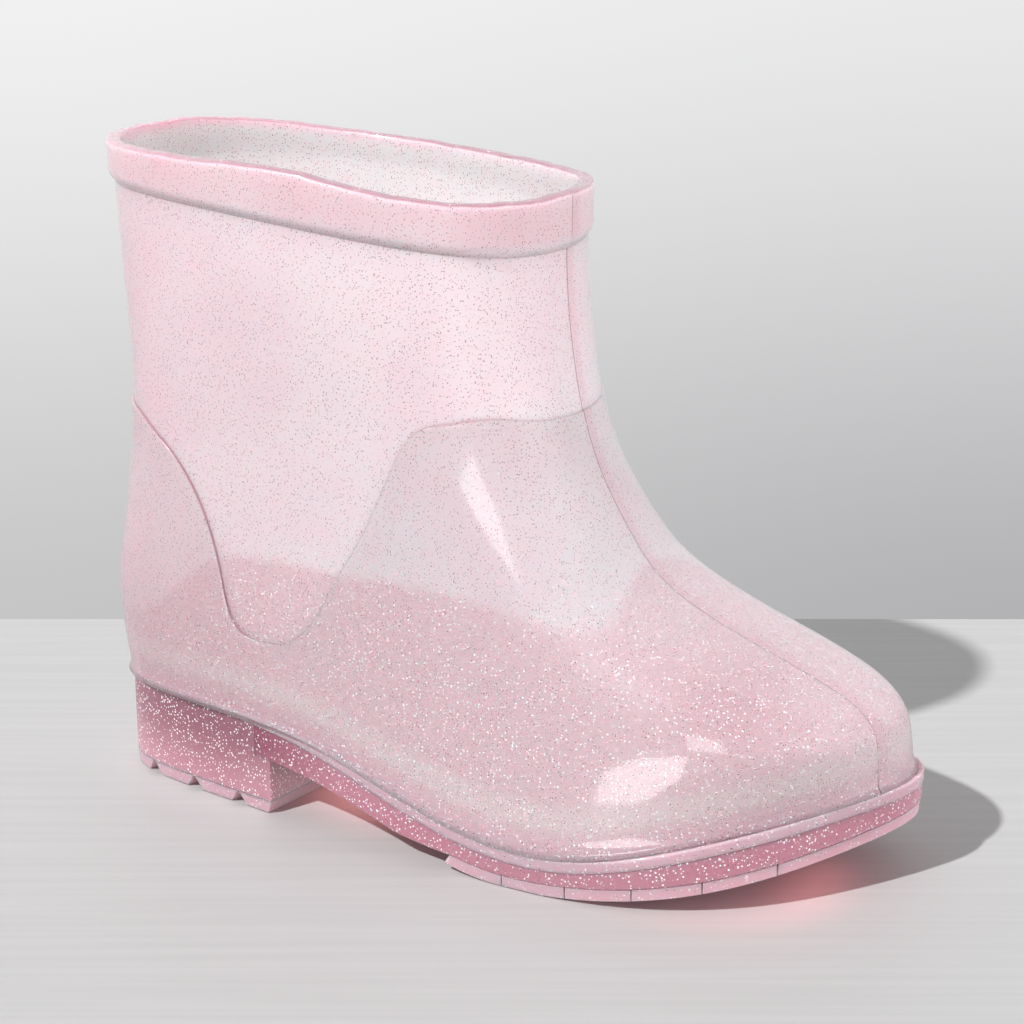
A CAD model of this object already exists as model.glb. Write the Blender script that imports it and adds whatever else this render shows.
import math

import bmesh
import bpy
import numpy as np
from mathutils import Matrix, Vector


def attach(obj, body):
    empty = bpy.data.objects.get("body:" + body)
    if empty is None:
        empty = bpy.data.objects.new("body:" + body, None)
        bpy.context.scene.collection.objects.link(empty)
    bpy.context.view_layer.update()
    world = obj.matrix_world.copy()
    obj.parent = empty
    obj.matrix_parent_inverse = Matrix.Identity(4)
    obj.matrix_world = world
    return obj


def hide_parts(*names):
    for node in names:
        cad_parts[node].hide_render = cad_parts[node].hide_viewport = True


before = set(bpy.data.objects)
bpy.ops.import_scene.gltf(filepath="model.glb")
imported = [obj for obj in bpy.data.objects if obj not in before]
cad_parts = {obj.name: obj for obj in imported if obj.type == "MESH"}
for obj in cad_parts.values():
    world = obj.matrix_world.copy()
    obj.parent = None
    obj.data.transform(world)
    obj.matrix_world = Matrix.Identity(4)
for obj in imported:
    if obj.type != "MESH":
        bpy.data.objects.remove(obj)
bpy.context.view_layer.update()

# Sizes, in mm. A place along the boot is a distance forwards from the heel back. ---------------------
MM = 0.001
HEEL_BACK = 89.65                   # y of the heel back in the frame
WALL = 2.0                          # thickness of the shell
RISE = 0.42                         # how far the raised foot part stands proud
COLLAR_RISE = 1.2
LAP = 1.6                           # how far a raised layer reaches into the shell
WELT_HEIGHT = 2.6
TREAD = 2.6                         # height of the tread bars
LUG = 3.0                           # height of the heel lugs

# The boot's skin: level slices, the same form as the CAD solids. Height, back, front, half width,
# taper, curl, fullness, inner side ahead, bow.
SLICES = np.array((
    (2.0, 2.8, 173.2, 29.2, 0.43, -0.54, 0.07, 14.0, 2.8),
    (18.0, 3.2, 172.8, 29.5, 0.36, -0.50, 0.07, 13.0, 2.6),
    (28.0, 3.0, 172.8, 30.7, 0.16, -0.30, 0.08, 9.5, 1.6),
    (38.0, 2.8, 166.9, 31.2, 0.02, -0.15, 0.085, 6.0, 0.8),
    (46.0, 3.7, 147.9, 31.2, -0.06, -0.05, 0.09, 2.6, 0.5),
    (54.0, 5.5, 130.1, 31.2, -0.09, 0.0, 0.09, 1.2, 0.4),
    (64.0, 6.7, 119.9, 31.4, -0.10, 0.0, 0.08, 0.6, 0.2),
    (78.0, 6.7, 111.8, 31.9, -0.07, 0.0, 0.06, 0.4, 0.0),
    (96.0, 6.2, 106.6, 32.8, -0.04, 0.0, 0.05, 0.2, 0.0),
    (118.0, 3.8, 104.2, 34.6, 0.02, 0.0, 0.04, 0.0, 0.0),
    (132.0, 2.6, 104.2, 35.0, 0.025, 0.0, 0.035, 0.0, 0.0),
    (146.0, 1.6, 104.3, 35.2, 0.03, 0.0, 0.03, 0.0, 0.0),
))
SOLE_SLICE = (1.4, 174.4, 30.2, 0.43, -0.54, 0.07, 14.0, 2.8)
BACK_REF, FRONT_REF, FULL_REF = 6.7, 119.9, 0.08              # the slice whose angles name the columns
TOP_OF_SKIN = 150.0

# Side-view curves: (forwards, height).
SOLE_TOP = ((-6, 24.1), (30, 22.8), (60, 20.0), (90, 11.6), (120, 8.4), (150, 15.1), (176, 20.6), (190, 22.0))
SOLE_BOTTOM = ((40, 12.0), (60, 11.0), (80, 6.1), (100, 0.6), (118, 0.0), (140, 2.7), (160, 7.0), (190, 15.4))
RIM_OUTER = ((-10, 140.3), (20, 140.8), (45, 141.0), (66, 140.0), (80, 136.8), (95, 134.2), (116, 134.8))
RIM_INNER = ((-10, 139.8), (12, 137.8), (44, 134.2), (75, 132.6), (116, 133.0))
COLLAR_EDGE = ((-10, 131.0), (27, 130.6), (56, 128.6), (85, 125.0), (116, 120.0))
# Edge of the raised foot part, from the heel back, down at the waist, to the front of the leg.
PANEL_EDGE = (
    (-2, 86.6), (8, 86.0), (17, 84.3), (22, 81.9), (27, 78.8), (31.5, 75.0), (35.5, 69.6), (38.4, 63.5),
    (40.4, 57.1), (41.6, 50.5), (42.9, 44.8), (45.5, 41.3), (50, 40.2), (55, 40.6), (59, 42.6), (63, 46.6),
    (66.5, 52.0), (70, 58.4), (74, 65.0), (77.3, 71.9), (80.2, 78.4), (82.6, 83.8), (85.2, 87.9), (89, 90.0),
    (94, 91.0), (99, 91.6), (104, 90.6), (112, 88.6),
)
# Top of the pinker zone that the thick sole gives to the foot.
LOW_ZONE = (
    (-4, 37), (6, 39), (13, 40.0), (20.8, 42.5), (30.9, 50.8), (40.4, 56.8), (54, 58.5), (68, 58), (82, 58),
    (109.5, 54.3), (133.6, 47), (145, 44), (165.5, 39), (180, 37),
)


# Curves ----------------------------------------------------------------------------------------------
def spline(xs, ys):
    """A smooth curve through points (not-a-knot cubic), as a function."""
    xs, ys = np.asarray(xs, float), np.asarray(ys, float)
    n = len(xs)
    h, d = np.diff(xs), np.diff(ys) / np.diff(xs)
    A, b = np.zeros((n, n)), np.zeros(n)
    for i in range(1, n - 1):
        A[i, i - 1], A[i, i], A[i, i + 1] = h[i - 1], 2 * (h[i - 1] + h[i]), h[i]
        b[i] = 6 * (d[i] - d[i - 1])
    A[0, :3] = h[1], -(h[0] + h[1]), h[0]
    A[-1, -3:] = h[-1], -(h[-1] + h[-2]), h[-2]
    m = np.linalg.solve(A, b)

    def value(x):
        x = np.asarray(x, float)
        i = np.clip(np.searchsorted(xs, x) - 1, 0, n - 2)
        t = x - xs[i]
        c1 = d[i] - h[i] * (2 * m[i] + m[i + 1]) / 6
        c3 = (m[i + 1] - m[i]) / (6 * h[i])
        return ys[i] + c1 * t + m[i] / 2 * t * t + c3 * t**3

    return value


def curve(points):
    return spline(*zip(*points))


SLICE_AT = [spline(SLICES[:, 0], SLICES[:, k]) for k in range(1, 9)]
back_at, front_at, fullness_at = SLICE_AT[0], SLICE_AT[1], SLICE_AT[5]
sole_top, sole_bottom = curve(SOLE_TOP), curve(SOLE_BOTTOM)
rim_outer, rim_inner, collar_edge = curve(RIM_OUTER), curve(RIM_INNER), curve(COLLAR_EDGE)
low_zone = curve(LOW_ZONE)


# The skin --------------------------------------------------------------------------------------------
def ring(shape, a):
    """x (from the mould seam) and distance forwards of a slice's point at angle a (0 toe, pi heel)."""
    back, front, half, taper, curl, full, ahead, bow = shape
    c, s = np.cos(a), np.sin(a)
    along = (c - full * np.cos(3 * a)) / (1 - full)
    across = (s + full * np.sin(3 * a)) / (1 - full)
    x = half * across * (1 + taper * c - 0.05 * c**2 + curl * c**3) - bow * s**2
    return x, (back + front) / 2 + (front - back) / 2 * along + ahead * across * (1 + c) / 2


def slice_angle(a, z):
    """The slice's own angle for column a at height z. Columns run straight down over the heel and
    spread forwards over the foot, so that a column crosses the raised edge only once."""
    back, front, full = back_at(z), front_at(z), fullness_at(z)
    a = (a + np.pi) % (2 * np.pi) - np.pi
    c0 = np.cos(a)
    t = (1 + (c0 * (1 + 3 * FULL_REF) - 4 * FULL_REF * c0**3) / (1 - FULL_REF)) / 2
    t = np.clip(t, 0, 1)
    forward = BACK_REF + t * (FRONT_REF - BACK_REF) + (back - BACK_REF) * (1 - t) ** 2
    forward = forward + (front - FRONT_REF) * np.clip((t - 0.42) / 0.58, 0, 1) ** 1.5
    v = np.clip((2 * forward - back - front) / (front - back), -1, 1)
    c = v.copy()
    for _ in range(12):                                       # Newton steps for the cosine
        miss = (c * (1 + 3 * full) - 4 * full * c**3) / (1 - full) - v
        c = c - miss * (1 - full) / (1 + 3 * full - 12 * full * c * c)
    return np.arccos(np.clip(c, -1, 1)) * np.where(a < 0, -1, 1)


def skin(a, z):
    """The skin's points (x, forwards, z) on columns a at heights z, in mm."""
    z = np.clip(z, SLICES[0, 0], TOP_OF_SKIN)
    x, forward = ring([f(z) for f in SLICE_AT], slice_angle(a, z))
    return np.stack([x, forward, z], -1)


def skin_normal(a, z):
    """Outward unit normal of the skin."""
    e = 1e-3
    da = skin(a + e, z) - skin(a - e, z)
    dz = skin(a, z + e * 50) - skin(a, z - e * 50)
    n = np.cross(da, dz)
    n /= np.linalg.norm(n, axis=-1, keepdims=True)
    out = skin(a, z) - np.stack([np.zeros_like(a), 0.45 * (back_at(z) + front_at(z)), z], -1)
    return n * np.sign((n[..., :2] * out[..., :2]).sum(-1, keepdims=True))


def offset(a, z, out):
    """Skin points moved outwards by out, in mm."""
    return skin(a, z) + skin_normal(a, z) * out[..., None]


def height_where(a, target, guess, steps=40):
    """The height at which the skin at angle a meets the side-view curve target(forwards, x)."""
    z = np.full_like(a, guess)
    for _ in range(steps):
        p = skin(a, z)
        z = z + 0.6 * (target(p[..., 1], p[..., 0]) - z)
    return z


def rim_height(forward, x):
    """Height of the rim: a ruled surface between the outer and the inner side's curves."""
    w = np.clip((x + 60) / 120, 0, 1)
    return rim_outer(forward) * (1 - w) + rim_inner(forward) * w


def to_world(p):
    """mm (x, forwards, z) to metres in the frame."""
    return np.stack([p[..., 0] * MM, (HEEL_BACK - p[..., 1]) * MM, p[..., 2] * MM], -1)


# Columns of the upper's meshes -----------------------------------------------------------------------
def edge_angles(side):
    """Columns (0 front .. pi back) and heights of the panel edge on one side (+1 inner, -1 outer)."""
    number = np.arange(len(PANEL_EDGE))
    u = np.linspace(0, number[-1], 900)
    forward_at, height_at = (spline(number, column) for column in zip(*PANEL_EDGE))
    a = np.linspace(0, np.pi, 1201)
    out = []
    for forward, z in zip(forward_at(u), height_at(u)):
        f = skin(a * side, np.full_like(a, z))[:, 1]
        foremost = f.argmax()
        k = foremost + np.searchsorted(-f[foremost:], -forward)
        if foremost < k < len(a):
            t = (f[k - 1] - forward) / (f[k - 1] - f[k])
            out.append((a[k - 1] + t * (a[k] - a[k - 1]), z))
    out = np.array(out)[::-1]
    keep = np.concatenate([[True], np.diff(np.maximum.accumulate(out[:, 0])) > 0])
    return out[keep]


EDGE = {side: edge_angles(side) for side in (1, -1)}


def panel_height(a):
    """Height of the raised part's edge at angle a in [-pi, pi]."""
    z = np.zeros_like(a)
    for side in (1, -1):
        m = (a >= 0) if side == 1 else (a < 0)
        z[m] = np.interp(np.abs(a[m]), EDGE[side][:, 0], EDGE[side][:, 1])
    return z


def make_columns(count, foot_height=24.0, foot_share=0.75):
    """Angles from -pi to pi, spaced by the length of the panel edge and of a level line on the foot."""
    a = np.linspace(-np.pi, np.pi, 6001)
    lines = (skin(a, panel_height(a)), 1.0), (skin(a, np.full_like(a, foot_height)), foot_share)
    step = sum(share * np.linalg.norm(np.diff(line, axis=0), axis=1) for line, share in lines)
    length = np.concatenate([[0], np.cumsum(step)])
    return np.interp(np.linspace(0, length[-1], count + 1)[:-1], length, a)


def meridian(a, z0, z1, rows):
    """Heights from z0 to z1 along each column, evenly spaced along the skin. Shape (rows, columns)."""
    t = np.linspace(0, 1, 161)[:, None]
    z = z0 + (z1 - z0) * t
    p = skin(np.broadcast_to(a, z.shape), z)
    step = np.linalg.norm(np.diff(p, axis=0), axis=2)
    length = np.concatenate([np.zeros((1, len(a))), np.cumsum(step, axis=0)])
    length /= length[-1]
    want = np.linspace(0, 1, rows)
    return np.stack([np.interp(want, length[:, i], z[:, i]) for i in range(len(a))], 1)


# Meshes ----------------------------------------------------------------------------------------------
def closed_mesh(name, rings):
    """A mesh from rings of points (rows, columns, 3): each ring is closed, the last row joins the first."""
    rows, cols, _ = rings.shape
    i, j = np.arange(rows)[:, None], np.arange(cols)[None, :]
    k, l = (i + 1) % rows, (j + 1) % cols
    faces = np.stack([i * cols + j, i * cols + l, k * cols + l, k * cols + j], -1).reshape(-1, 4)
    mesh = bpy.data.meshes.new(name)
    mesh.from_pydata(to_world(rings).reshape(-1, 3).tolist(), [], faces.tolist())
    mesh.validate()
    bm = bmesh.new()
    bm.from_mesh(mesh)
    bmesh.ops.recalc_face_normals(bm, faces=bm.faces)
    bm.to_mesh(mesh)
    bm.free()
    mesh.shade_smooth()
    return mesh


def add_object(mesh, material):
    o = bpy.data.objects.new(mesh.name, mesh)
    bpy.context.scene.collection.objects.link(o)
    mesh.materials.append(material)
    return o


def stand_for(piece, slot, *nodes):
    """Rides the piece on the boot's one body, names its slot and the CAD nodes that it stands for."""
    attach(piece, "root")
    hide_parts(*nodes)
    return piece


def store(mesh, name, values):
    """A float value for each vertex, for the material to read."""
    layer = mesh.attributes.new(name, "FLOAT", "POINT")
    layer.data.foreach_set("value", np.asarray(values, np.float32).ravel())


# Shader nodes ----------------------------------------------------------------------------------------
def node(tree, kind, **values):
    """A shader node; keys name its inputs (by name or i0, i1 ..) or its own settings."""
    n = tree.nodes.new(kind)
    for key, value in values.items():
        if key.startswith("i") and key[1:].isdigit():
            put(tree, n.inputs[int(key[1:])], value)
        elif hasattr(n, key):
            setattr(n, key, value)
        else:
            put(tree, n.inputs[key.replace("_", " ")], value)
    return n


def put(tree, socket, value):
    if hasattr(value, "is_linked"):
        tree.links.new(value, socket)
    else:
        socket.default_value = value


def maths(tree, operation, a, b=0.0):
    return node(tree, "ShaderNodeMath", operation=operation, i0=a, i1=b).outputs[0]


def ramp(tree, value, low, high, out_low=0.0, out_high=1.0):
    """Smoothly from out_low at low to out_high at high."""
    n = node(tree, "ShaderNodeMapRange", interpolation_type="SMOOTHSTEP")
    for i, v in enumerate((value, low, high, out_low, out_high)):
        put(tree, n.inputs[i], v)
    return n.outputs[0]


def mix(tree, factor, a, b):
    return node(tree, "ShaderNodeMix", data_type="RGBA", i0=factor, i6=a, i7=b).outputs[2]


def attribute(tree, name):
    return node(tree, "ShaderNodeAttribute", attribute_name=name).outputs["Fac"]


def object_point(tree):
    return node(tree, "ShaderNodeTexCoord").outputs["Object"]


def rgb(r, g, b):
    """sRGB 0-255 to linear."""
    def lin(v):
        v /= 255
        return v / 12.92 if v <= 0.04045 else ((v + 0.055) / 1.055) ** 2.4
    return (lin(r), lin(g), lin(b), 1.0)


def new_material(name):
    """A material with an empty node tree."""
    m = bpy.data.materials.new(name)
    m.use_nodes = True
    m.node_tree.nodes.clear()
    return m


# PVC -------------------------------------------------------------------------------------------------
DARK_CELL, DARK_FLAKE = 0.44 * MM, 0.14 * MM                  # spacing and radius of the dark glitter
BRIGHT_CELL, BRIGHT_FLAKE = 0.6 * MM, 0.19 * MM


def flakes(tree, point, cell, share, size, seed):
    """Glitter: (mask of flakes, a random number for each). share is the share of cells with a flake."""
    turned = node(tree, "ShaderNodeMapping")
    put(tree, turned.inputs["Vector"], point)
    turned.inputs["Location"].default_value = (seed * 0.137, seed * 0.071, seed * 0.193)
    turned.inputs["Rotation"].default_value = (0.5 + seed, 0.7, 0.3 * seed)
    v = node(tree, "ShaderNodeTexVoronoi", voronoi_dimensions="3D", feature="F1")
    put(tree, v.inputs["Vector"], turned.outputs[0])
    v.inputs["Scale"].default_value = 1 / cell
    parts = node(tree, "ShaderNodeSeparateColor")
    put(tree, parts.inputs[0], v.outputs["Color"])
    radius = ramp(tree, parts.outputs[2], 0.0, 1.0, size * 0.6 / cell, size / cell)
    inside = maths(tree, "LESS_THAN", v.outputs["Distance"], radius)
    chosen = maths(tree, "LESS_THAN", parts.outputs[0], share)
    return maths(tree, "MULTIPLY", inside, chosen), parts.outputs[1]


def pvc(name, colour, deep, clear, blur, dark, bright, zones=None, coat=1.0, sparkle=BRIGHT_FLAKE):
    """Milky see-through PVC with glitter in it. clear is the share of light that passes straight on,
    blurred by blur. dark and bright are the shares of cells that hold such a flake, as numbers or as
    a function of the tree, and sparkle is the bright flakes' size. zones repaints the plain tone."""
    m = new_material(name)
    t = m.node_tree
    point = object_point(t)
    cloud = node(t, "ShaderNodeTexNoise", Scale=45.0, Detail=3.0, Roughness=0.55)
    put(t, cloud.inputs["Vector"], point)
    tone = mix(t, ramp(t, cloud.outputs[0], 0.35, 0.7), colour, deep)
    if zones:
        tone = zones(t, tone)
    dark, bright = [share(t) if callable(share) else share for share in (dark, bright)]
    dark_mask, dark_tone = flakes(t, point, DARK_CELL, dark, DARK_FLAKE, 1)
    bright_mask, bright_tone = flakes(t, point, BRIGHT_CELL, bright, sparkle, 2)
    tone = mix(t, dark_mask, tone, mix(t, dark_tone, rgb(124, 88, 98), rgb(215, 184, 192)))
    tone = mix(t, bright_mask, tone, mix(t, bright_tone, rgb(246, 226, 232), rgb(255, 255, 255)))
    solid = maths(t, "MAXIMUM", dark_mask, bright_mask)
    fine = node(t, "ShaderNodeTexNoise", Scale=300.0, Detail=2.0)
    put(t, fine.inputs["Vector"], point)
    bump = node(t, "ShaderNodeBump", Strength=1.0, Distance=MM)
    put(t, bump.inputs["Height"], maths(t, "MULTIPLY", fine.outputs[0], 0.010))
    b = node(t, "ShaderNodeBsdfPrincipled", IOR=1.45)
    put(t, b.inputs["Base Color"], tone)
    put(t, b.inputs["Normal"], bump.outputs[0])
    put(t, b.inputs["Roughness"], ramp(t, cloud.outputs[0], 0.3, 0.7, blur, blur + 0.04))
    put(t, b.inputs["Transmission Weight"], maths(t, "SUBTRACT", clear, maths(t, "MULTIPLY", solid, clear)))
    b.inputs["Subsurface Weight"].default_value = 1.0
    b.inputs["Subsurface Radius"].default_value = (1.0, 0.6, 0.65)
    b.inputs["Subsurface Scale"].default_value = 3 * MM
    b.inputs["Coat Weight"].default_value = coat
    b.inputs["Coat Roughness"].default_value = 0.07
    inner = node(t, "ShaderNodeVolumeAbsorption", Color=(1.0, 0.5, 0.62, 1), Density=70.0)
    out = node(t, "ShaderNodeOutputMaterial")
    t.links.new(b.outputs[0], out.inputs[0])
    t.links.new(inner.outputs[0], out.inputs[1])
    return m


def upper_zones(t, tone, low_tone=rgb(233, 208, 215)):
    """The upper's painted zones, from the values stored on its meshes. In order: the zone that the sole
    fills, the top of the toe, the foot just over the welt, the pale band over that, the raised edge, the
    parting line's band and its thin line, the collar's step, the rim, the heel and the inside."""
    def over(tone, strength, colour):
        return mix(t, strength, tone, colour)

    up, seam = attribute(t, "up"), attribute(t, "seam")
    tone = over(tone, ramp(t, attribute(t, "low"), -1.6, 2.0), low_tone)
    tone = over(tone, maths(t, "MULTIPLY", attribute(t, "toe"), 0.4), rgb(214, 172, 184))
    tone = over(tone, ramp(t, up, 5.0, 1.0, 0.0, 0.5), rgb(226, 182, 196))
    pale = maths(t, "MULTIPLY", ramp(t, up, 4.5, 7.0), ramp(t, up, 13.0, 9.0))
    tone = over(tone, maths(t, "MULTIPLY", pale, 0.45), rgb(248, 236, 236))
    tone = over(tone, attribute(t, "line"), rgb(184, 116, 138))
    band = maths(t, "MULTIPLY", ramp(t, seam, 0.1, 0.5), ramp(t, seam, 4.5, 1.5))
    tone = over(tone, maths(t, "MULTIPLY", band, 0.4), rgb(232, 186, 200))
    tone = over(tone, ramp(t, maths(t, "ABSOLUTE", seam), 0.07, 0.19, 0.85, 0.0), rgb(120, 88, 96))
    tone = over(tone, maths(t, "MULTIPLY", attribute(t, "step"), 0.8), rgb(255, 237, 242))
    tone = over(tone, ramp(t, attribute(t, "rim"), 0.75, 0.25, 0.0, 0.85), rgb(146, 100, 118))
    tone = over(tone, maths(t, "MULTIPLY", attribute(t, "back"), 0.62), rgb(234, 190, 203))
    return over(tone, attribute(t, "inside"), rgb(255, 253, 254))


def panel_zones(t, tone):
    """The upper's zones on the raised foot part, which is seen against the shell under it."""
    return upper_zones(t, tone, rgb(240, 211, 218))


def sole_zones(t, tone):
    """Darker and duller where the sole is thick, right under the welt, and most of all at the heel."""
    dark = mix(t, attribute(t, "fore"), rgb(140, 68, 94), rgb(206, 144, 162))
    return mix(t, ramp(t, attribute(t, "up"), -19.0, -2.0, 0.0, 0.9), tone, dark)


def more_low_down(t):
    """Share of the cells with a bright flake: more of them in the foot."""
    return ramp(t, attribute(t, "low"), -4.0, 4.0, 0.06, 0.50)


upper_pvc = pvc("upper_pvc", rgb(255, 236, 240), rgb(254, 229, 235), 0.45, 0.32, 0.7, more_low_down,
                upper_zones)
panel_pvc = pvc("panel_pvc", rgb(255, 232, 236), rgb(254, 225, 231), 0.45, 0.32, 0.7, more_low_down,
                panel_zones)
collar_pvc = pvc("collar_pvc", rgb(250, 226, 231), rgb(247, 219, 226), 0.4, 0.35, 0.7, 0.05, upper_zones)
welt_pvc = pvc("welt_pvc", rgb(232, 194, 205), rgb(226, 184, 197), 0.35, 0.4, 0.2, 0.45, coat=0.5)
sole_pvc = pvc("sole_pvc", rgb(219, 159, 175), rgb(207, 143, 161), 0.3, 0.45, 0.35, 0.6, sole_zones,
               coat=0.35, sparkle=0.21 * MM)
tread_pvc = pvc("tread_pvc", rgb(240, 192, 204), rgb(234, 182, 196), 0.3, 0.45, 0.05, 0.45, coat=0.35)
footbed_pvc = pvc("footbed_pvc", rgb(236, 190, 200), rgb(228, 180, 191), 0.3, 0.4, 0.4, 0.3)

# Upper: a full shell with two raised layers, the foot part and the collar ------------------------------
COLUMNS = 420
RIDGE = 0.28 / 30.0                 # half angle of the parting line's ridge: 0.28 mm at a radius of 30 mm
RIDGE_HEIGHT = 0.16
WAIST = 57.5                        # where the raised edge dies away between heel and vamp
WAIST_REACH = 10.0
VAMP_SHARE = 0.5                    # height of the vamp's edge against the heel part's
HEEL_PART_END = 55.0
FLARE = 1.1                         # how far the foot part flares out over the welt
EDGE_LINE_WIDTH = 0.16
FAR_FROM_SEAM = 5.0
# Waves of the uneven rim: (how many, height, phase).
RIM_WAVES = ((3, 0.10, 0.4), (7, 0.09, 1.9), (13, 0.07, 4.0), (29, 0.05, 2.2), (53, 0.04, 0.3))
# How strongly the raised edge is drawn as a line: (forwards, strength).
EDGE_LINE = ((0, 0.8), (42, 0.7), (49, 0.1), (54, 0), (66, 0), (84, 0.08), (90, 0.34), (98, 0.16), (112, 0.1))
# Profiles. Foot part: (distance below its edge, share of its height). Rim and lip: (drop below the
# rim, offset). Collar step: (height over the collar's edge, offset).
FOOT_PROFILE = ((1.1, 1.0), (0.7, 0.98), (0.42, 0.88), (0.2, 0.64), (0.07, 0.34), (0.0, 0.04))
RIM_PROFILE = ((1.3, 0.0), (0.5, 0.0), (0.08, -0.1), (0.0, -0.5), (0.0, -1.0), (0.05, -1.35), (0.2, -1.66),
               (0.5, -1.88), (1.0, -WALL))
COLLAR_STEP = ((0, 0.0), (0.2, 0.06), (0.5, 0.24), (0.85, 0.55), (1.2, 0.86), (1.6, 1.07), (2.2, COLLAR_RISE))
COLLAR_LIP = ((0.8, 1.17), (0.45, 1.03), (0.2, 0.78), (0.05, 0.42), (0.0, 0.0), (0.06, -0.3))


def upper_columns():
    """The columns' angles, with five of them on the parting line's ridge."""
    a = make_columns(COLUMNS)
    a = a - a[np.abs(a).argmin()] * np.exp(-(a / 0.05) ** 2)
    on_ridge = np.array((-1.6, -1, 0, 1, 1.6)) * RIDGE
    return np.sort(np.concatenate([a[np.abs(a) > on_ridge[-1]], on_ridge]))


angles = upper_columns()
z_bottom = height_where(angles, lambda forward, x: sole_top(forward), 15.0)
z_panel = panel_height(angles)
z_collar = height_where(angles, lambda forward, x: collar_edge(forward), 126.0)
z_rim = height_where(angles, rim_height, 137.0)
z_rim = z_rim + sum(h * np.sin(count * angles + phase) for count, h, phase in RIM_WAVES)
seam_ridge = RIDGE_HEIGHT * np.exp(-(angles / (0.55 * RIDGE)) ** 2)
edge_forward = skin(angles, z_panel)[:, 1]
fade = 1 - 0.97 * np.exp(-(np.abs(edge_forward - WAIST) / WAIST_REACH) ** 3)
fade = fade * np.where(edge_forward < HEEL_PART_END, 1.0, VAMP_SHARE)
line_strength = np.interp(edge_forward, *zip(*EDGE_LINE))


def along_meridian(a, z, reach):
    """How much height a step of reach mm away from the panel edge takes along each column."""
    e = 1e-3
    m = skin(a, z + e * 20) - skin(a, z - e * 20)
    rise = np.linalg.norm(m, axis=1) / (e * 40)
    m /= np.linalg.norm(m, axis=1, keepdims=True)
    t = skin(np.roll(a, -1), np.roll(z, -1)) - skin(np.roll(a, 1), np.roll(z, 1))
    t /= np.linalg.norm(t, axis=1, keepdims=True)
    across = np.linalg.norm(np.cross(m, t), axis=1)
    across = np.convolve(np.concatenate([across[-3:], across, across[:3]]), np.ones(7) / 7, "valid")
    return reach / np.clip(across, 0.16, 1) / rise


# Places on the foot that zone_values uses, in mm.
CREST_START, CREST_LENGTH, CREST_HALF_WIDTH, CREST_HEIGHT = 112, 18, 20, 16    # the pinker zone's top
TOE_TOP, TOE_REACH, TOE_SIDE, TOE_FLOOR = 151, 11, 8, 30      # middle, length, side limit, lowest height
OUT_OF_ZONE = 60.0                  # keeps the inside out of the pinker zone


def zone_values(rings, lining):
    """Values that the upper's materials read, for rings of points. lining is 1 inside the boot."""
    x, forward, z = rings[..., 0], rings[..., 1], rings[..., 2]
    around = np.abs(np.broadcast_to(angles, z.shape))
    from_seam = np.clip(x, -FAR_FROM_SEAM, FAR_FROM_SEAM)
    from_edge = np.abs(z - z_panel) / np.maximum(along_meridian(angles, z_panel, 1.0), 1e-3)
    crest = np.exp(-(x / CREST_HALF_WIDTH) ** 2) * np.clip((forward - CREST_START) / CREST_LENGTH, 0, 1)
    toe = np.exp(-((forward - TOE_TOP) / TOE_REACH) ** 2) * np.clip((TOE_SIDE - x) / 16, 0, 1)
    return {
        "seam": np.where(around < 1.0, from_seam, np.where(angles < 0, -FAR_FROM_SEAM, FAR_FROM_SEAM)),
        "up": z - sole_top(forward),
        "line": line_strength * np.clip(1.6 - from_edge / EDGE_LINE_WIDTH, 0, 1) * (1 - lining),
        "low": low_zone(np.clip(forward, -4, 180)) + CREST_HEIGHT * crest - z - OUT_OF_ZONE * lining,
        "rim": z_rim - z,
        "back": np.clip((around - 1.6) / 1.3, 0, 1) * (1 - lining),
        "inside": lining,
        "toe": toe * np.clip((z - TOE_FLOOR) / 8, 0, 1),
    }


def wall(name, material, outer, inner, lined=False, stepped=False):
    """A closed wall from (heights, offsets) rows: outer rows upwards, inner rows downwards. A lined
    wall's inner rows are seen inside the boot, and a stepped one has a step at the collar's edge."""
    rings = np.stack([offset(angles, z, np.broadcast_to(out, angles.shape).astype(float))
                      for z, out in outer + inner])
    lining = np.zeros(rings.shape[:2])
    lining[len(outer):] = 1.0 if lined else 0.0
    values = zone_values(rings, lining)
    if stepped:
        values["step"] = np.clip(1.4 - np.abs(rings[..., 2] - z_collar - 0.9) / 1.3, 0, 1)
    mesh = closed_mesh(name, rings)
    for key, value in values.items():
        store(mesh, key, value)
    return add_object(mesh, material)


def between(z0, z1, rows, trim=(0, 0)):
    """Rows of heights from z0 to z1, less trim rows at either end."""
    z = meridian(angles, z0, z1, rows)
    return [z[i] for i in range(trim[0], rows - trim[1])]


def make_foot_wall():
    """The raised heel and toe part: a feathered edge at the top, a flare over the welt."""
    def below(reach):
        return np.minimum(along_meridian(angles, z_panel, reach), (z_panel - z_bottom) * 0.4)

    def full_low_down(z):
        return RISE * (1 - fade) * (1 - np.clip((z - 28.0) / 12.0, 0, 1))

    edge = [(z_panel - below(reach), RISE * fade * share + seam_ridge) for reach, share in FOOT_PROFILE]
    start = edge[0][0]
    outer = [(z, RISE * fade + seam_ridge) for z in between(z_bottom, start, 62, (0, 1))] + edge
    outer = [(z, out + full_low_down(z) + 0.02 + FLARE * np.exp(-(z - z_bottom) / 1.3)) for z, out in outer]
    inner = [(z_panel - np.minimum(along_meridian(angles, z_panel, 0.05), 1.0), -LAP)]
    inner += [(z, -LAP) for z in between(start, z_bottom, 40)]
    return wall("foot_wall", panel_pvc, outer, inner)


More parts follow.
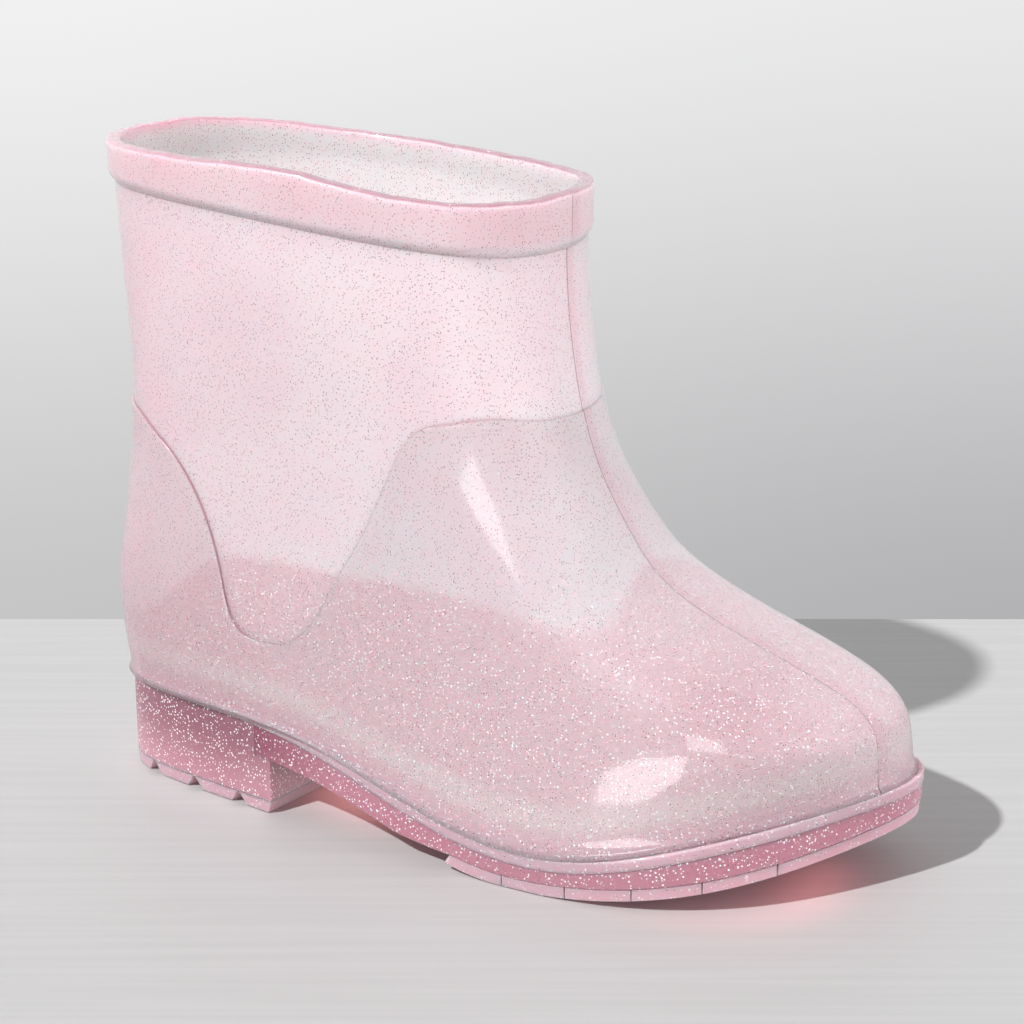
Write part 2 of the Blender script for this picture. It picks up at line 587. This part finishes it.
def make_leg_wall():
    """The whole shell, from the sole to the rounded rim."""
    outer = [(z, 0.0) for z in between(z_bottom, z_panel, 30, (0, 1))]
    outer += [(z, seam_ridge) for z in between(z_panel, z_collar, 54)]
    outer += [(z, 0.0) for z in between(z_collar + 0.5, z_rim - RIM_PROFILE[0][0], 6, (0, 1))]
    outer += [(z_rim - drop, out) for drop, out in RIM_PROFILE]
    inner = [(z, -WALL) for z in between(z_rim - RIM_PROFILE[-1][0], z_bottom, 60, (1, 0))]
    return wall("leg_wall", upper_pvc, outer, inner, lined=True)


def make_collar():
    """The band round the top: a soft step below, a rounded lip above."""
    seam = seam_ridge * 0.5
    outer = [(z_collar + rise, out + seam) for rise, out in COLLAR_STEP]
    outer += [(z, COLLAR_RISE + seam) for z in between(outer[-1][0], z_rim - 1.2, 12, (1, 0))]
    outer += [(z_rim - drop, out) for drop, out in COLLAR_LIP]
    inner = [(z, -LAP) for z in between(z_rim - 0.6, z_collar + 0.3, 8)]
    return wall("collar", collar_pvc, outer, inner, stepped=True)


foot_wall = stand_for(make_foot_wall(), "panels", "heel_counter", "vamp_cover")
leg_wall = stand_for(make_leg_wall(), "clear_upper", "upper_shell")
collar = stand_for(make_collar(), "collar", "collar_band")

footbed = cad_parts["footbed"]
footbed.data.materials.clear()
footbed.data.materials.append(footbed_pvc)

# Sole: plates on the foot-shaped outline, cut by planes ----------------------------------------------
SOLE_COLUMNS = 440
PLATE_START = 45.0                  # where the outsole's plate meets the heel
BREAST = 53.0                       # foremost place of the heel's front, on the seam
BREAST_SWEEP = (16, 120)            # the way each half of that front looks: across, forwards
LUG_ROWS = 4
FIRST_GROOVE, LUG_PITCH = 15.0, 13.7
GROOVE_AT = 18.0                    # how far from the seam the grooves' places are measured
GROOVE_SLANT = math.tan(math.radians(16))
CHANNEL = 6.0                       # half width of the channel along the heel
TREAD_START, BAR_PITCH, BARS = 86.0, 14.0, 6
CRISP = math.radians(35)            # edges sharper than this aren't smoothed
# The welt: (height over its lower edge, offset).
WELT_PROFILE = ((0, 0.0), (0.1, 0.2), (0.3, 0.34), (0.8, 0.36), (1.3, 0.36), (1.8, 0.36), (2.2, 0.36),
                (2.45, 0.3), (2.58, 0.12), (2.6, -0.2), (2.6, -2.0), (0, -2.0))
sole_angles = np.linspace(-np.pi, np.pi, SOLE_COLUMNS + 1)[:-1]


# Heights as functions of the distance forwards.
def level(z):
    return lambda f: np.full_like(f, z)


def under_sole(lift=0.0):
    """Underside of the outsole: the arch, and over the tread bars at the forefoot."""
    return lambda f: sole_bottom(np.maximum(f, 40)) + TREAD * np.clip((f - TREAD_START + 3) / 14, 0, 1) + lift


def tread_face(lift=0.0):
    """Underside of the tread bars, never under the ground."""
    return lambda f: np.maximum(sole_bottom(f), 0.0) + lift


def over_plate(lift=0.0):
    """Lower edge of the welt, which is the top of the plates under it."""
    return lambda f: sole_top(f) - WELT_HEIGHT + lift


def outline(out):
    """The sole's outline moved outwards by out mm: (x, forwards) for each column."""
    def at(a):
        return np.stack(ring(SOLE_SLICE, a), -1)
    d = at(sole_angles + 1e-4) - at(sole_angles - 1e-4)
    d /= np.linalg.norm(d, axis=-1, keepdims=True)
    return at(sole_angles) + np.stack([-d[:, 1], d[:, 0]], -1) * out


def row(height, out):
    p = outline(out)
    return np.stack([p[:, 0], p[:, 1], height(p[:, 1])], -1)


def rows_between(low, high, count, out):
    """Rows spaced evenly between two heights."""
    return [((lambda f, w=w: low(f) * (1 - w) + high(f) * w), out) for w in np.linspace(0, 1, count)]


def plate(rows, across=10):
    """A closed plate from rows (height, out), from the bottom edge up."""
    bm = bmesh.new()
    side = [row(*r) for r in rows]
    grids = [np.concatenate([np.stack(side), np.stack(side)[:, :1]], 1)]
    left = np.arange(SOLE_COLUMNS // 2 + 1)
    t = np.linspace(0, 1, across + 1)[:, None]
    for (height, _), edge in zip((rows[0], rows[-1]), (side[0], side[-1])):
        p, q = edge[left], edge[(SOLE_COLUMNS - left) % SOLE_COLUMNS]
        cap = p[None] * (1 - t[:, :, None]) + q[None] * t[:, :, None]
        cap[1:-1, :, 2] = height(cap[1:-1, :, 1])
        grids.append(cap)
    for grid in grids:
        v = [[bm.verts.new(c) for c in line] for line in to_world(grid)]
        for r0, r1 in zip(v, v[1:]):
            for i in range(len(r0) - 1):
                bm.faces.new((r0[i], r0[i + 1], r1[i + 1], r1[i]))
    weld = 0.004 * MM
    bmesh.ops.remove_doubles(bm, verts=bm.verts, dist=weld)
    bmesh.ops.dissolve_degenerate(bm, edges=bm.edges, dist=weld)
    return bm


def cut(bm, forward, x, normal, z=0.0):
    """Cut away what lies on the normal's side of a plane through (x, forward, z)."""
    n = Vector((normal[0], -normal[1], normal[2])).normalized()
    got = bmesh.ops.bisect_plane(bm, geom=bm.verts[:] + bm.edges[:] + bm.faces[:], dist=1e-7,
                                 plane_co=Vector(to_world(np.array([x, forward, z]))), plane_no=n,
                                 clear_outer=True)
    edges = [e for e in got["geom_cut"] if isinstance(e, bmesh.types.BMEdge)]
    filled = bmesh.ops.holes_fill(bm, edges=edges, sides=0)
    bmesh.ops.triangulate(bm, faces=filled["faces"])


def joined(name, parts, material):
    """One object of one or more closed forms, with the values that the sole's material reads."""
    whole = bmesh.new()
    for bm in parts:
        part_mesh = bpy.data.meshes.new(name + "_part")
        bmesh.ops.recalc_face_normals(bm, faces=bm.faces)
        bm.to_mesh(part_mesh)
        whole.from_mesh(part_mesh)
        bpy.data.meshes.remove(part_mesh)
        bm.free()
    for f in whole.faces:
        f.smooth = True
    for e in whole.edges:
        e.smooth = e.calc_face_angle(0) < CRISP
    mesh = bpy.data.meshes.new(name)
    whole.to_mesh(mesh)
    whole.free()
    at = np.array([v.co for v in mesh.vertices]) / MM
    forward = HEEL_BACK - at[:, 1]
    store(mesh, "up", at[:, 2] - over_plate()(forward))
    store(mesh, "fore", np.clip((forward - 42) / 26, 0, 1))
    return add_object(mesh, material)


def make_sole_plate():
    under = [(under_sole(), -0.5), (under_sole(0.12), -0.2), (under_sole(0.4), 0.06)]
    body = plate(under + rows_between(under_sole(0.6), over_plate(), 5, 0.06))
    cut(body, PLATE_START, 0, (0, -1, 0))
    return joined("sole_plate", [body], sole_pvc)


def make_heel_body():
    block = plate([(level(LUG), 0.0)] + rows_between(level(LUG + 0.3), over_plate(), 6, 0.0))
    for way in (-1, 1):
        cut(block, BREAST, 0, (way * BREAST_SWEEP[0], BREAST_SWEEP[1], 0))
    return joined("heel_body", [block], sole_pvc)


def make_lug(side, n):
    """Lug n from the back, on one side of the channel, between grooves that widen to the ground."""
    lug = plate([(level(0.0), -0.7), (level(0.25), -0.25), (level(LUG), 0.0)], 6)
    for groove, way in ((n - 1, -1), (n, 1)):
        if 0 <= groove < LUG_ROWS - 1:
            place = FIRST_GROOVE + LUG_PITCH * groove - way * 0.3
            cut(lug, place, side * GROOVE_AT, (way * side * GROOVE_SLANT, way, -0.75), LUG)
    cut(lug, FIRST_GROOVE, side * CHANNEL, (-side, 0, -0.5), LUG)
    for way in (-1, 1):
        cut(lug, BREAST, 0, (way * BREAST_SWEEP[0], BREAST_SWEEP[1], -45), LUG)
    return lug


def make_bar(n):
    """Tread bar n from the arch: a narrow gap on each side, the first with a sloping back."""
    bar = plate([(tread_face(), -0.8), (tread_face(0.25), -0.3), (under_sole(), -0.1)], 12)
    for gap, way in ((n, -1), (n + 1, 1)):
        if gap < BARS:
            slope = 0.0 if gap else 0.6
            cut(bar, TREAD_START + BAR_PITCH * gap - way * 0.15, 0, (way * 0.25, way, slope), 1.0)
    return bar


def make_welt():
    return add_object(closed_mesh("welt_lip", np.stack([row(over_plate(h), out) for h, out in WELT_PROFILE])),
                      welt_pvc)


sole_plate = stand_for(make_sole_plate(), "sole", "outsole")
heel_body = stand_for(make_heel_body(), "sole", "heel_block")
lugs = [make_lug(side, n) for side in (-1, 1) for n in range(LUG_ROWS)]
heel_lugs = stand_for(joined("heel_lugs", lugs, tread_pvc), "sole", "heel_block")
bars = [make_bar(n) for n in range(BARS)]
tread_bars = stand_for(joined("tread_bars", bars, tread_pvc), "tread", "forefoot_tread")
welt_lip = stand_for(make_welt(), "sole", "welt")

# Stage: a table and a backdrop, square to the camera ---------------------------------------------------
EYE = Vector((-417.5, HEEL_BACK - 321.5, 212.7)) * MM
AIM = Vector((0.0, HEEL_BACK - 91.9, 65.9)) * MM
FOCAL_LENGTH, SENSOR_WIDTH = 85.15, 36.0                      # mm
TABLE_EDGE = 0.119                                            # from the aim to the table's far edge, m
TABLE_DEPTH, TABLE_WIDTH, TABLE_THICKNESS = 2.0, 4.0, 0.02
BACKDROP_AT = 0.75                                            # from the aim to the backdrop
up = Vector((0, 0, 1))
away = ((AIM - EYE) * Vector((1, 1, 0))).normalized()
right = away.cross(up)
ground = AIM * Vector((1, 1, 0))


def stage_object(name, corners, faces, material):
    mesh = bpy.data.meshes.new(name)
    mesh.from_pydata([tuple(c) for c in corners], [], faces)
    o = add_object(mesh, material)
    return o


def glowing(name, strength, colour=None):
    """A material that only gives light; colour is a function of its tree."""
    m = new_material(name)
    t = m.node_tree
    glow = node(t, "ShaderNodeEmission", Strength=strength)
    if colour:
        put(t, glow.inputs[0], colour(t))
    t.links.new(glow.outputs[0], node(t, "ShaderNodeOutputMaterial").inputs[0])
    return m


def distance_along(tree, way):
    """Distance along a direction, as a socket."""
    dot = node(tree, "ShaderNodeVectorMath", operation="DOT_PRODUCT", i0=object_point(tree), i1=tuple(way))
    return dot.outputs["Value"]


def make_table():
    """A pale board with a faint grain from side to side."""
    material = bpy.data.materials.new("table_paint")
    material.use_nodes = True
    t = material.node_tree
    paint = t.nodes["Principled BSDF"]
    paint.inputs["Roughness"].default_value = 0.55
    grain_at = node(t, "ShaderNodeCombineXYZ")
    for socket, way, scale in ((0, right, 12.0), (1, away, 420.0)):
        put(t, grain_at.inputs[socket], maths(t, "MULTIPLY", distance_along(t, way), scale))
    grain = node(t, "ShaderNodeTexNoise", Scale=1.0, Detail=2.0)
    put(t, grain.inputs["Vector"], grain_at.outputs[0])
    put(t, paint.inputs["Base Color"],
        mix(t, ramp(t, grain.outputs[0], 0.3, 0.7), rgb(185, 185, 185), rgb(190, 190, 190)))
    centre = ground + away * (TABLE_EDGE - TABLE_DEPTH / 2)
    corners = [centre + right * x * TABLE_WIDTH / 2 + away * y * TABLE_DEPTH / 2 + up * z * TABLE_THICKNESS
               for z in (-1, 0) for y in (-1, 1) for x in (-1, 1)]
    faces = [(0, 1, 3, 2), (4, 6, 7, 5), (0, 4, 5, 1), (2, 3, 7, 6), (0, 2, 6, 4), (1, 5, 7, 3)]
    board = stage_object("table", corners, faces, material)
    board.visible_glossy = board.visible_shadow = False       # the shaft strip reaches below its level
    return board


def backdrop_colour(t):
    """Grey at the bottom, nearly white at the top, a little darker on the right."""
    from_left = ramp(t, distance_along(t, right), -0.3, 0.3)
    low_tone = mix(t, from_left, rgb(196, 196, 197), rgb(176, 176, 178))
    high_tone = mix(t, from_left, rgb(244, 244, 244), rgb(236, 236, 237))
    return mix(t, ramp(t, distance_along(t, up), -0.27, 0.17), low_tone, high_tone)


def make_backdrop():
    foot = ground + away * BACKDROP_AT
    corners = [foot + right * x + up * z for x, z in ((-3, -0.8), (3, -0.8), (3, 2.5), (-3, 2.5))]
    stage_object("backdrop", corners, [(0, 1, 2, 3)], glowing("backdrop_paper", 1.0, backdrop_colour))


table = make_table()
make_backdrop()

# Lights ------------------------------------------------------------------------------------------------
SUN_HEIGHT = math.radians(46)
SUN_WAY = (right * -0.788 - away * 0.616) * math.cos(SUN_HEIGHT) + up * math.sin(SUN_HEIGHT)
MIDDLE = Vector((0, 0, 60)) * MM
# Soft strips that a wall mirrors as a highlight: place of the highlight in mm, way from it to the light
# (right, towards the camera, up), distance, width and height in metres, watts, receivers.
STRIPS = (
    ("vamp_strip", (-25, -9.5, 77), (-0.13, 0.98, 0.13), 0.96, 0.288, 0.288, 0.96, "foot"),
    ("shaft_strip", (-25.7, -3.4, 116), (0.18, 0.95, -0.19), 0.84, 0.196, 0.21, 0.049, "leg"),
)
# Fills: way from the boot's middle (right, towards the camera, up) in metres, watts, receivers.
FILLS = (
    ("fill_right", (0.9, 0.3, 0.15), 7.0, "boot"),
    ("fill_front", (0.2, 1.0, 0.1), 2.9, "boot"),
    ("fill_top", (-0.1, 0.0, 1.0), 11.0, "leg"),
)
# Sunlight that has passed through the pink sole and falls on the table: x, y, width, length, watts,
# colour.
SPILL_HEIGHT = 7 * MM
SPILLS = (
    ("through_ball", -0.0085, -0.0458, 0.052, 0.068, 0.0100, (1.0, 0.27, 0.28)),
    ("through_arch", 0.0015, 0.0242, 0.044, 0.038, 0.0058, (1.0, 0.40, 0.39)),
)
# The window that the toe mirrors: a six-cornered sheet, taller on the right, in mm from its middle.
WINDOW_SEEN_AT = Vector((-30.5, -48.5, 28)) * MM
WINDOW_WAY = (-0.48, 0.83, -0.22)
WINDOW_DISTANCE = 0.24
WINDOW_OUTLINE = ((-50, -17), (-50, 12), (-14, 33), (58, 44), (50, -25), (20, -38))


def seen_by_camera(way):
    """A vector in the frame from one given as right, towards the camera, up."""
    return right * way[0] - away * way[1] + up * way[2]


def receivers(name, *pieces):
    """A group of pieces that a light may fall on."""
    group = bpy.data.collections.new(name)
    for piece in pieces:
        group.objects.link(piece)
    return group


def area_light(name, place, target, size, watts, group, colour=(1, 1, 1), diffuse=True, glossy=True):
    """A light that the camera doesn't see and that falls on one group only."""
    data = bpy.data.lights.new(name, "AREA")
    data.shape = "RECTANGLE"
    data.size, data.size_y = size
    data.energy, data.color = watts, colour
    o = bpy.data.objects.new(name, data)
    o.location = place
    o.rotation_euler = (target - place).to_track_quat("-Z", "Y").to_euler()
    o.visible_diffuse, o.visible_glossy, o.visible_camera = diffuse, glossy, False
    o.light_linking.receiver_collection = group
    bpy.context.scene.collection.objects.link(o)
    return o


def make_sun():
    data = bpy.data.lights.new("key", "SUN")
    data.energy, data.angle = 3.4, math.radians(1.8)
    o = bpy.data.objects.new("key", data)
    o.rotation_euler = (-SUN_WAY).to_track_quat("-Z", "Y").to_euler()
    bpy.context.scene.collection.objects.link(o)


def make_window(group):
    """A glowing sheet that only the group mirrors and nothing else sees."""
    way = seen_by_camera(WINDOW_WAY)
    facing = way.normalized()
    rising = (up - facing * facing.z).normalized()
    sideways = rising.cross(facing)
    centre = WINDOW_SEEN_AT + way * WINDOW_DISTANCE
    corners = [centre + (sideways * h + rising * v) * MM for h, v in WINDOW_OUTLINE]
    o = stage_object("toe_window", corners, [range(len(corners))], glowing("window_light", 5.6))
    o.visible_camera = o.visible_diffuse = o.visible_shadow = o.visible_transmission = False
    o.light_linking.receiver_collection = group


def make_spill(name, x, y, width, length, watts, colour, group):
    """A soft pink patch on the table."""
    place = Vector((x, y, SPILL_HEIGHT))
    o = area_light(name, place, place - up, (width, length), watts, group, colour, glossy=False)
    o.rotation_euler = (0, 0, 0)
    o.data.shape = "ELLIPSE"
    o.data.use_shadow = False


groups = {
    "leg": receivers("leg", leg_wall, collar),
    "foot": receivers("foot", foot_wall, sole_plate, tread_bars, welt_lip),
    "boot": receivers("boot", footbed, foot_wall, leg_wall, collar, sole_plate, heel_body, heel_lugs,
                      tread_bars, welt_lip),
    "table": receivers("table", table),
}
make_sun()
for name, seen, way, distance, width, height, watts, group in STRIPS:
    target = Vector(seen) * MM
    area_light(name, target + seen_by_camera(way) * distance, target, (width, height), watts, groups[group],
               diffuse=False)
for name, way, watts, group in FILLS:
    area_light(name, MIDDLE + seen_by_camera(way), MIDDLE, (0.8, 0.8), watts, groups[group], glossy=False)
make_window(groups["foot"])
for spill in SPILLS:
    make_spill(*spill, groups["table"])

world = bpy.data.worlds.new("studio")
bpy.context.scene.world = world
world.use_nodes = True
world.node_tree.nodes["Background"].inputs[0].default_value = (1.0, 1.0, 1.0, 1)
world.node_tree.nodes["Background"].inputs[1].default_value = 0.37

# Camera ------------------------------------------------------------------------------------------------
cam_data = bpy.data.cameras.new("camera")
cam_data.lens, cam_data.sensor_width = FOCAL_LENGTH, SENSOR_WIDTH
cam_data.clip_start, cam_data.clip_end = 0.01, 20
camera = bpy.data.objects.new("camera", cam_data)
camera.location = EYE
camera.rotation_euler = (AIM - EYE).to_track_quat("-Z", "Y").to_euler()
bpy.context.scene.collection.objects.link(camera)
bpy.context.scene.camera = camera
bpy.context.scene.view_settings.view_transform = "Standard"
